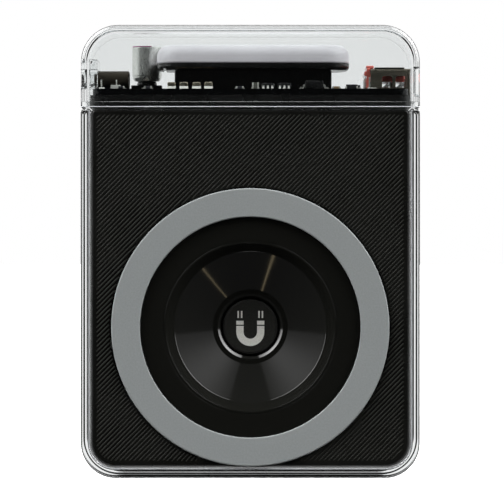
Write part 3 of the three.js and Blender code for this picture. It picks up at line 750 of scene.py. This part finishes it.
def arc_band(centre_z, inner, outer, start, end, steps=20):
    """Outline of a band between two radii, from a start angle to an end angle in degrees."""
    angles = [math.radians(start + (end - start) * i / steps) for i in range(steps + 1)]
    out = [(outer * math.cos(a), centre_z + outer * math.sin(a)) for a in angles]
    back = [(inner * math.cos(a), centre_z + inner * math.sin(a)) for a in reversed(angles)]
    return out + back


def rectangle(u0, v0, u1, v1):
    return [(u0, v0), (u1, v0), (u1, v1), (u0, v1)]


def button_mark():
    """Printed sign of a plain horseshoe magnet with two short strokes over each pole."""
    centre = DISH_Z - 1.15
    outer, inner, gap = 3.0, 1.45, 0.25
    tip_low, tip_high = centre + 1.3, centre + 2.4
    stroke, lift, length = 0.32, 0.6, 1.5
    outlines = [arc_band(centre, inner, outer, 180, 360)]
    for side in (-1, 1):
        left, right = sorted((side * inner, side * outer))
        outlines.append(rectangle(left, centre, right, tip_low))
        outlines.append(rectangle(left, tip_low + gap, right, tip_high))
        for place in (left + 0.25, right - 0.25 - stroke):
            outlines.append(rectangle(place, tip_high + lift, place + stroke, tip_high + lift + length))
    proud, sunk = BUTTON_FACE - 0.02, BUTTON_FACE + 0.05
    marks = [prism(outline, proud, sunk, "y") for outline in outlines]
    piece(merge(*marks), "button_mark", "print", BUTTON)


# -------- back


def screw_places():
    for number in range(1, 5):
        low, high = span(f"back_screw_{number}")
        yield number, (low.x + high.x) / 2, (low.z + high.z) / 2, high.y


def back_plate():
    """Flat cover with a shallow groove, nearer to the sleeve's edge than its CAD stand-in."""
    low, high = span("back_cover")
    corner = SLEEVE_CORNER + COVER_SIDE
    half = SLEEVE_HIGH.x - COVER_SIDE
    bottom = SLEEVE_LOW.z + COVER_BOTTOM
    plate = slab(
        -half, bottom, half, high.z, [corner, corner, 0.5, 0.5], low.y, high.y, "y", 0.1, 0.6, 14
    )
    margin, width, depth = 3, 0.7, 0.25
    groove_box = [margin - half, bottom + margin, half - margin, high.z - 4]

    def groove(inset):
        return rounded_box(*groove_box, [corner - margin] * 4, inset)

    tools = [tube(groove, width, high.y - depth, high.y + 1, "y", 0.05)]
    for _, x, z, back in screw_places():
        seat = back - 1.15
        profile = soften([(0, seat, 0), (3, seat, 0), (3, high.y - 0.3, 0), (3.3, high.y, 0),
                          (3.3, high.y + 1, 0), (0, high.y + 1, 0)])
        tools.append(lathe(profile, (x, z), "y", 64))
    carve(plate, *tools)
    piece(plate, "back_plate", "satin", stands_for=["back_cover"])


def back_screws():
    """Pan heads with a cross recess."""
    for number, x, z, back in screw_places():
        head = back - 1.1
        profile = soften([
            (0, head - 8, 0), (1.2, head - 8, 0), (1.2, head, 0), (2.7, head, 0),
            (2.7, back - 0.2, 0.6), (0.6, back, 0.4), (0, back, 0),
        ])
        screw = lathe(profile, (x, z), "y", 64)
        arms = [
            block((x - u, back - 0.75, z - v), (x + u, back + 1, z + v), 0.08)
            for u, v in ((1.35, 0.28), (0.28, 1.35))
        ]
        carve(screw, *arms)
        name = f"back_screw_{number}"
        piece(screw, name + "_cross", "steel", stands_for=[name])


# -------- circuit board parts


def solder_foot(low_u, high_u, edge, depth, height, axis):
    """A concave bead of solder. It lies on the board at edge and climbs towards depth."""
    floor = BOARD_TOP + 0.01
    lean = depth - edge
    outline = [
        (edge, floor), (edge + 0.05 * lean, floor + 0.12 * height),
        (edge + 0.55 * lean, floor + 0.3 * height), (depth, floor + height), (depth, floor),
    ]
    return prism(outline, low_u, high_u, axis)


def soldered(name, shapes):
    """One bright piece made of legs, pins or beads of solder."""
    piece(merge(*shapes), name, "solder")


def ceramic_capacitors():
    """Tan blocks with a metal cap at the front and back, each in a bead of solder."""
    cap = 0.55
    for number in range(1, 5):
        name = f"ceramic_capacitor_{number}"
        low, high = span(name)
        corner = (high.x - 0.04, high.y - 0.3, high.z - 0.04)
        body = block((low.x + 0.04, low.y + 0.3, low.z), corner)
        piece(body, name + "_body", "ceramic", stands_for=[name])
        caps, beads = [], []
        for front in (low.y, high.y - cap):
            caps.append(block((low.x, front, low.z), (high.x, front + cap, high.z), 0.24, 4))
        for face, out in ((low.y, -1), (high.y, 1)):
            edge, depth = face + out * 0.55, face - out * 0.02
            beads.append(solder_foot(low.x - 0.05, high.x + 0.05, edge, depth, 0.6, "x"))
        piece(merge(*caps), name + "_ends", "tin")
        soldered(name + "_solder", beads)


def small_chips():
    """Resistors, inductor and diodes: bodies between bright ends along X."""
    kinds = {
        "chip_resistor_1": "resistor", "chip_resistor_2": "resistor", "chip_resistor_3": "resistor",
        "chip_resistor_4": "ceramic", "chip_inductor": "ferrite",
        "flat_diode_1": "chip", "flat_diode_2": "chip",
    }
    end, bead = 0.3, 0.4
    for name, look in kinds.items():
        low, high = span(name)
        body = block((low.x + 0.1, low.y, low.z), (high.x - 0.1, high.y, high.z), 0.06)
        piece(body, name + "_body", look, stands_for=[name])
        top = high.z - 0.35 if name.startswith("flat") else high.z + 0.02
        ends = [
            block((x, low.y - 0.02, low.z), (x + end, high.y + 0.02, top), 0.05)
            for x in (low.x, high.x - end)
        ]
        middle = (low.y + high.y) / 2
        ends.append(solder_foot(low.y, middle, low.x - bead, low.x, bead, "y"))
        ends.append(solder_foot(low.y, middle, high.x + bead, high.x, bead, "y"))
        soldered(name + "_ends", ends)


def leg_outline(start, reach, knee, thick=0.2):
    """A gull-wing leg from the body's side at start out to start + reach."""
    floor = BOARD_TOP + 0.05
    end = start + reach
    return [
        (start, knee), (start + 0.42 * reach, knee), (start + 0.6 * reach, floor + thick),
        (end, floor + thick), (end, floor), (start + 0.38 * reach, floor),
        (start + 0.25 * reach, knee - thick), (start, knee - thick),
    ]


def legged_chip(name, half_x, half_y, tall, legs, pitch, leg_width, reach, leg_axis):
    """A tapered resin body with bent legs, which are repeated along leg_axis on both sides."""
    floor = BOARD_TOP + 0.15
    x, y = middle_of(name)
    draft = 0.1
    loops = [
        (rounded_box(x - half_x, y - half_y, x + half_x, y + half_y, [0.15] * 4, inset, 4), z)
        for inset, z in [
            (draft, floor), (0, floor + 0.5 * tall),
            (draft, floor + tall - 0.06), (draft + 0.06, floor + tall),
        ]
    ]
    resin = skin(loops, "z")
    piece(resin, name + "_body", "chip", stands_for=[name])
    metal = []
    along, across = (y, x) if leg_axis == "y" else (x, y)
    half = half_x if leg_axis == "y" else half_y
    bead = 0.6 * leg_width
    for i in range(legs):
        middle = along + (i - (legs - 1) / 2) * pitch
        for side in (-1, 1):
            outline = leg_outline(half - 0.2, reach + 0.2, floor + 0.5 * tall)
            outline = [(across + side * u, v) for u, v in outline]
            metal.append(prism(outline, middle - leg_width / 2, middle + leg_width / 2, leg_axis))
            edge = across + side * (half + reach + 0.3)
            near = across + side * (half + 0.6 * reach)
            metal.append(solder_foot(middle - bead, middle + bead, edge, near, 0.3, leg_axis))
    soldered(name + "_legs", metal)


def logic_and_driver():
    legged_chip(
        "driver_chip", 1.95, 2.45, 1.5, legs=4, pitch=1.27, leg_width=0.42, reach=1.05, leg_axis="y"
    )
    for name in ("logic_chip_1", "logic_chip_2"):
        legged_chip(name, 1.45, 0.8, 1.1, legs=3, pitch=0.95, leg_width=0.4, reach=0.6, leg_axis="x")


def can_body():
    """Drawn can with a rolled lower edge and scored top, and a coloured mark on it."""
    low, high = span("capacitor_can")
    x, y = middle_of("capacitor_can")
    r = (high.x - low.x) / 2
    neck, lid = r - 0.08, high.z - 0.06
    profile = soften([
        (0, low.z, 0), (r - 0.5, low.z, 0.2), (neck, low.z + 0.7, 0.5), (neck, low.z + 1.0, 0.1),
        (r, low.z + 1.2, 0.1), (r, high.z, 0.35), (r - 0.75, high.z, 0), (r - 0.8, lid, 0), (0, lid, 0),
    ])
    can = lathe(profile, (x, y), "z", 96)
    arm, half, depth = 2.1, 0.1, 0.2
    scores = [
        block((x - u, y - v, high.z - depth), (x + u, y + v, high.z + 1), 0.02)
        for u, v in ((arm, half), (half, arm))
    ]
    carve(can, *scores)
    piece(can, "capacitor_can_drawn", "can", stands_for=["capacitor_can"])
    band = [(x + u, y + v) for u, v in arc_band(0, r - 0.6, r - 0.06, 185, 290, 24)]
    mark = prism(band, high.z - depth, high.z + 0.06, "z")
    piece(mark, "capacitor_mark", "mark")


def can_foot():
    """Black foot with two cut corners and a column for the can, held by one soldered tab."""
    low, high = span("capacitor_foot")
    x, y = middle_of("capacitor_can")
    cut, seat = 1.3, low.z + 1.35
    outline = soften([
        (low.x, low.y, 0.3), (high.x, low.y, 0.3), (high.x, high.y - cut, 0.2),
        (high.x - cut, high.y, 0.2), (low.x + cut, high.y, 0.2), (low.x, high.y - cut, 0.2),
    ])
    foot = prism(outline, low.z, seat, "z")
    slot = block((x - 1.1, low.y - 1, low.z - 1), (x + 0.9, low.y + 0.9, seat - 0.3))
    carve(foot, slot)
    bevel(foot, 0.08)
    column = soften([(0, seat, 0), (2.3, seat, 0.3), (2, high.z, 0), (0, high.z, 0)])
    foot = merge(foot, lathe(column, (x, y), "z", 48))
    piece(foot, "capacitor_foot_tray", "gloss", stands_for=["capacitor_foot"])
    tab_low, tab_high = (x - 0.9, low.y - 0.9, BOARD_TOP + 0.03), (x + 0.7, low.y + 0.8, BOARD_TOP + 0.35)
    tab = block(tab_low, tab_high)
    soldered("capacitor_bead", [solder_foot(x - 1.3, x + 1.1, low.y - 1.3, low.y + 0.2, 0.9, "x")])
    piece(tab, "capacitor_tab", "tab_brown")


def light_bar():
    """White diffuser over a stepped black frame and a black box."""
    corner = 5.5
    low, high = span("light_diffuser")
    lens = slab(low.x, low.y, high.x, high.y, [corner] * 4, low.z, high.z, "z", 0.25, 2.4, 14)
    piece(lens, "diffuser_bar", "lens", stands_for=["light_diffuser"])
    box_low, box_high = span("light_box")
    box = block(box_low, box_high, 0.35, 4)
    margin = Vector((1.2, 1.2, -1))
    inside = block(box_low + margin, box_high - margin, 0.2)
    carve(box, inside)
    # The box walls take the extra-dark black: painted shade under the diffuser.
    piece(box, "light_box_walls", "gloss", stands_for=["light_box"])
    low, high = span("light_frame")
    upper = slab(low.x, low.y, high.x, high.y, [corner] * 4, low.z, high.z, "z", 0.9, 0.1, 14)
    notch = block((low.x + 1.4, low.y - 1, low.z - 1), (low.x + 2, high.y + 1, low.z + 0.4), 0.1)
    carve(upper, notch)
    opening = block(box_low + Vector((1.7, 1.7, 0)), box_high + Vector((-1.7, -1.7, 9)), 0.3)
    carve(upper, opening)
    piece(upper, "frame_stepped", "satin", stands_for=["light_frame"])


# -------- sockets


def small_shell():
    """Stadium tube of dull nickel with two slots in its front."""
    low, high = small_port()
    corner = (high.z - low.z) / 2 - 0.01

    def outline(inset):
        return rounded_box(low.y, low.z, high.y, high.z, [corner] * 4, inset, 12)

    sheet = 0.3
    shell = tube(outline, sheet, low.x, high.x, "x", 0.06)
    slots = [
        block((low.x + left, low.y - 1, low.z - 1), (low.x + right, low.y + 1.5, low.z + top), 0.1)
        for left, right, top in ((1.3, 1.75, 1.9), (3.6, 5.4, 0.9))
    ]
    carve(shell, *slots)
    piece(shell, "usb_c_tube", "nickel", stands_for=["usb_c_shell"])


def small_feet():
    """Four posts of the left socket in beads of solder, and a clip at its front."""
    low, high = small_port()
    width, depth = 0.28, 0.25
    feet = []
    for left in (low.x + 1.4, low.x + 4.6):
        for front in (low.y - 0.1, high.y - 0.15):
            top = (left + width, front + depth, low.z + 1.7)
            feet.append(block((left, front, BOARD_TOP - 0.6), top, 0.05))
            feet.append(solder_foot(left - 0.4, left + 0.8, front - 0.5, front + 0.1, 0.4, "x"))
    clip_low = (low.x + 3.5, low.y - 0.3, BOARD_TOP)
    feet.append(block(clip_low, (low.x + 5.6, low.y + 0.3, BOARD_TOP + 0.9), 0.1))
    soldered("usb_c_feet", feet)


def small_tongue():
    low, high = span("usb_c_tongue")
    middle, half = (low.z + high.z) / 2, 0.35
    blade = block((low.x, low.y + 0.1, middle - half), (high.x - 0.8, high.y - 0.1, middle + half))
    rear = block((high.x - 1.4, low.y, low.z), high, 0.15)
    carve(blade, rear, operation="UNION")
    piece(blade, "usb_c_blade", "satin", stands_for=["usb_c_tongue"])


def large_shell():
    """Folded shell with two windows in each side, a spring in each and a fold on top."""
    low, high = span("usb_a_shell")

    def outline(inset):
        return rounded_box(low.y, low.z, high.y, high.z, [0.6] * 4, inset, 6)

    sheet = 0.35
    shell = tube(outline, sheet, low.x, high.x, "x", 0.08)
    floor, roof, far = BOARD_TOP + 0.5, BOARD_TOP + 2.9, 20
    windows = [(low.x + 2.4, low.x + 4.6), (low.x + 5.3, low.x + 7.6)]
    cuts = [
        slab(left, floor, right, roof, [0.15, 0.15, 0.5, 0.5], -far, far, "y", 0, 0, 6)
        for left, right in windows
    ]
    carve(shell, *cuts)
    piece(shell, "usb_a_folded", "dull", stands_for=["usb_a_shell"])
    springs = []
    for left, right in windows:
        blade = [(left + 0.15, floor + 0.15), (right - 0.5, floor + 0.15), (right - 0.35, floor + 1.3)]
        for side, inward in ((low.y, 1), (high.y, -1)):
            springs.append(prism(blade, side + inward * 0.2, side + inward * 0.4, "y"))
            front, back = sorted((side + inward * 0.15, side + inward * 0.5))
            lip_low, lip_high = (left + 0.7, front, floor + 0.25), (right - 0.7, back, floor + 0.75)
            springs.append(block(lip_low, lip_high, 0.1))
    piece(merge(*springs), "usb_a_springs", "steel")
    left, right = low.x + 0.8, high.x - 1.2
    fold = block((left, low.y + 0.2, high.z), (right, high.y - 0.2, high.z + 0.28), 0.12)
    piece(fold, "usb_a_top_fold", "nickel")


def large_core():
    """Red insulator: a rear wall with a belly, a crown over the shell and a long tongue."""
    base, top = BOARD_TOP, span("usb_a_shell")[1].z + 0.05
    low, high = span("usb_a_insulator")
    rear = slab(
        low.y, base + 0.1, high.y, top + 0.1, [0.3] * 4, low.x + 0.5, low.x + 1.3, "x", 0.2, 0.1, 4
    )
    belly = slab(low.y, base + 3, high.y, base + 4, [0.3] * 4, low.x, low.x + 1, "x", 0.3, 0.1, 4)
    crown = slab(
        low.y + 0.3, top, high.y - 0.3, high.z, [0.1, 0.1, 0.3, 0.3],
        low.x + 0.4, low.x + 2.1, "x", 0.3, 0.3, 4,
    )
    near = (low.x + 1, low.y + 0.2, base + 1.7)
    tongue = block(near, (high.x, high.y - 0.2, base + 3.6), 0.15)
    carve(rear, belly, crown, tongue, operation="UNION")
    piece(rear, "usb_a_core", "red", stands_for=["usb_a_insulator"])


def large_pins():
    """Four pins behind the insulator, one beside it and a small tab on the board."""
    x, y, _ = span("usb_a_insulator")[0]
    base = BOARD_TOP
    pins = [
        block((x + 0.1, middle - 0.5, base - 0.6), (x + 0.45, middle + 0.5, base + 2.6), 0.08)
        for middle in (-3.6, -1.2, 1.2, 3.6)
    ]
    pins += [
        block((x + 0.95, y - 0.3, base - 0.4), (x + 1.3, y - 0.05, base + 2.7), 0.08),
        block((x + 0.6, y - 0.95, base + 0.02), (x + 2.6, y - 0.3, base + 0.45), 0.12),
    ]
    soldered("usb_a_pins", pins)


# -------- assembly


def build_case():
    cap_glass()
    sleeve_glass()
    sleeve_edge()
    panel_plate()
    twill_ridges()
    back_plate()
    back_screws()
    dress("housing", "black_satin", "main_housing")
    dress("satin", "black_satin", "board_tray")


def build_dish():
    pad_ring()
    dish_bowl()
    button_disc()
    button_mark()
    dress("satin", "black_satin", "switch_plunger")
    dress("nickel", "bright_steel", "switch_body", "switch_screw_1", "switch_screw_2")
    dress("board", "circuit_board", "button_board")
    dress("white", "white_plastic", "coil_bobbin")
    dress("copper", "copper_wire", "coil_winding", "coil_lead_start", "coil_lead_end")


def build_board():
    ceramic_capacitors()
    small_chips()
    logic_and_driver()
    can_body()
    can_foot()
    light_bar()
    small_shell()
    small_feet()
    small_tongue()
    large_shell()
    large_core()
    large_pins()
    dress("board", "circuit_board", "main_board")
    dress("steel", "bright_steel", "board_screw_1", "board_screw_2")
    dress("lamp", "white_plastic", "lamp_1", "lamp_2", "lamp_3", "lamp_4")


def build_battery():
    dress("battery", "battery_wrap", "battery_cell")
    dress("nickel", "bright_steel", "battery_tab_minus", "battery_tab_plus")
    dress("red_rubber", "red_rubber", "battery_lead_plus")
    dress("black_rubber", "black_rubber", "battery_lead_minus", "switch_lead")


# -------- stage


def camera():
    """Level camera straight in front, with a long lens."""
    distance = 0.72
    view_width = 0.1068
    aim_x, aim_z = 0.00036, 0.04797
    data = bpy.data.cameras.new("camera")
    data.sensor_width = 36
    data.lens = data.sensor_width * distance / view_width
    data.clip_start = 0.01
    data.clip_end = 100
    made = bpy.data.objects.new("camera", data)
    made.location = (aim_x, CAD_BOX[0].y - distance, aim_z)
    made.rotation_euler = (math.radians(90), 0, 0)
    bpy.context.scene.collection.objects.link(made)
    bpy.context.scene.camera = made


def floor():
    """Wide pale floor just under the case. Reflections see the studio instead of it."""
    size, level = 12000, -0.05
    outline = rectangle(-size, -size, size, size)
    ground = prism(outline, level - 1, level, "z")
    ground.name = "floor"
    white = (1, 1, 1, 1)
    pale = Look("floor", (0.9, 0.9, 0.9), 0.8, Emission_Color=white, Emission_Strength=1.0)
    ground.data.materials.append(pale.material)
    ground.visible_glossy = False
    ground.visible_diffuse = False
    ground.visible_transmission = False


def studio():
    """A pale surround with two large soft boxes, high on the left and right, and two slim strips.

    off is the angle from straight ahead of the case and clock the angle round that axis,
    upwards first and then clockwise, both in degrees.
    """
    world = bpy.data.worlds.new("studio")
    bpy.context.scene.world = world
    world.use_nodes = True
    tree = world.node_tree

    def value_of(kind, inputs=None, **settings):
        return add_node(tree, kind, inputs, **settings).outputs[0]

    def math_node(operation, *values):
        return value_of("Math", dict(enumerate(values)), operation=operation)

    def ramp(value, start, end, low, high):
        return map_range(tree, value, start, end, low, high, interpolation_type="SMOOTHSTEP")

    def chain(operation, values):
        made = values[0]
        for value in values[1:]:
            made = math_node(operation, made, value)
        return made

    def product(*values):
        return chain("MULTIPLY", values)

    def total(*values):
        return chain("ADD", values)

    degrees = 180 / math.pi
    x, y, z = add_node(tree, "SeparateXYZ", {0: value_of("TexCoord")}).outputs
    off = product(math_node("ARCCOSINE", product(y, -1.0)), degrees)
    clock = product(math_node("ARCTAN2", x, z), degrees)
    side = math_node("ABSOLUTE", clock)

    reach = ramp(off, 36, 52, 0.0, 1.15)
    main = ramp(off, 54, 66, 0.0, 7.0)
    fade = ramp(off, 104, 118, 1.0, 0.0)
    edges = product(ramp(side, 15.5, 17.5, 0.0, 1.0), ramp(side, 84, 88, 1.0, 0.0))
    crest = product(ramp(side, 12, 45, 0.22, 1.0), ramp(side, 46, 88, 1.0, 0.25))
    boxes = product(total(product(reach, crest), product(main, total(crest, 0.35))), edges, fade)

    def strip(middle, half, strength):
        near = math_node("ABSOLUTE", math_node("SUBTRACT", clock, middle))
        across = ramp(near, half * 0.5, half, strength, 0.0)
        return product(across, ramp(off, 40, 46, 0.0, 1.0), ramp(off, 56, 64, 1.0, 0.0))

    strips = total(strip(-162.5, 1.0, 3.0), strip(142, 0.8, 2.6))
    above = ramp(z, -0.5, -0.25, 0.02, 1.0)
    behind = product(ramp(off, 108, 130, 0.0, 0.86), above)
    ambient = ramp(off, 20, 45, 0.008, 0.09)
    table = ramp(z, -0.99, -0.972, 6.0, 0.0)
    grey = total(boxes, ambient, behind, table)

    def color(red, green, blue):
        return value_of("CombineColor", {0: red, 1: green, 2: blue})

    cool = color(grey, grey, grey)
    warm = color(strips, product(strips, 0.82), product(strips, 0.5))
    room = value_of("VectorMath", {0: cool, 1: warm}, operation="ADD")
    path = add_node(tree, "LightPath").outputs

    def choose(switch, without, with_it):
        """Sockets 6 and 7 are the mix node's two colours, and output 2 is the mixed one."""
        inputs = {0: path[switch], 6: without, 7: with_it}
        return add_node(tree, "Mix", inputs, data_type="RGBA").outputs[2]

    under = ramp(z, -0.95, -0.8, 0.9, 0.0)
    backward = math_node("MAXIMUM", above, ramp(y, 0.2, 0.5, 0.0, 1.0))
    glimpse = total(product(ramp(off, 52, 84, 0.01, 1.0), backward), under)
    bounces = total(path["Glossy Depth"], path["Diffuse Depth"])
    straight = math_node("LESS_THAN", bounces, 0.5)
    pane = math_node("MAXIMUM", glimpse, straight)
    unseen = choose("Is Transmission Ray", room, color(pane, pane, pane))
    seen = choose("Is Camera Ray", unseen, color(1.0, 1.0, 1.0))
    tree.links.new(seen, tree.nodes["Background"].inputs["Color"])
    world.cycles.sampling_method = "MANUAL"
    world.cycles.sample_map_resolution = 1024


def film():
    view = bpy.context.scene.view_settings
    view.view_transform = "Standard"
    view.look = "None"
    cycles = bpy.context.scene.cycles
    cycles.max_bounces = 24
    cycles.transmission_bounces = 20
    cycles.transparent_max_bounces = 20
    cycles.glossy_bounces = 8
    cycles.diffuse_bounces = 4
    cycles.caustics_reflective = False
    cycles.caustics_refractive = False
    cycles.use_denoising = True


camera()
floor()
studio()
film()
build_case()
build_dish()
build_board()
build_battery()
